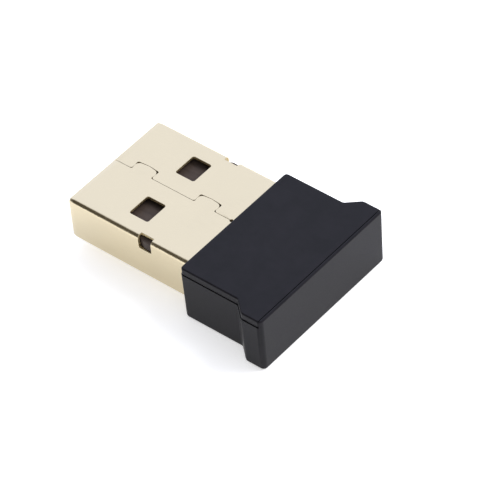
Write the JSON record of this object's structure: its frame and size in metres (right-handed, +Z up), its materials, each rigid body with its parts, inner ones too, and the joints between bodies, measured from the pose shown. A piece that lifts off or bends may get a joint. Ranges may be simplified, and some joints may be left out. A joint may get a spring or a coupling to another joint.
{
  "type": "usb wireless adapter",
  "caption": "Very small USB wireless adapter: a folded metal plug shell on a flared plastic housing that closes over a circuit board.",
  "frame": {"origin": "centre of the footprint, on the plane that the housing rests on", "axes": "+Z up, towards the folded seam of the plug shell; the plug points to -X and the closed end of the housing is at +X"},
  "size_m": [0.0229, 0.0162, 0.0058],
  "materials": {
    "gold_plate": "satin gold plate on folded steel sheet",
    "housing_black": "moulded, satin to gloss, slightly blue black",
    "carrier_black": "moulded, matte",
    "contact_gold": "polished gold plate",
    "board_green": "solder mask on glass laminate",
    "package_black": "moulded chip package",
    "white_ceramic": "unglazed ceramic",
    "tan_ceramic": "fired ceramic",
    "dark_ceramic": "ferrite",
    "lid_metal": "plated lid"
  },
  "bodies": {
    "root": {"metal_shell": "gold_plate", "contact_carrier": "carrier_black", "contact_vbus": "contact_gold", "contact_data_minus": "contact_gold", "contact_data_plus": "contact_gold", "contact_ground": "contact_gold", "housing_base": "housing_black", "housing_cover": "housing_black", "circuit_board": "board_green", "wifi_chip": "package_black", "surge_diode": "package_black", "voltage_regulator": "package_black", "bias_resistor_1": "package_black", "bias_resistor_2": "package_black", "power_inductor": "dark_ceramic", "ferrite_bead": "dark_ceramic", "antenna_inductor": "dark_ceramic", "crystal_base": "white_ceramic", "crystal_lid": "lid_metal", "chip_antenna": "white_ceramic", "antenna_capacitor": "tan_ceramic", "crystal_capacitor_1": "tan_ceramic", "crystal_capacitor_2": "tan_ceramic", "decoupling_capacitor_1": "tan_ceramic", "decoupling_capacitor_2": "tan_ceramic", "decoupling_capacitor_3": "tan_ceramic", "decoupling_capacitor_4": "tan_ceramic"}
  },
  "joints": []
}
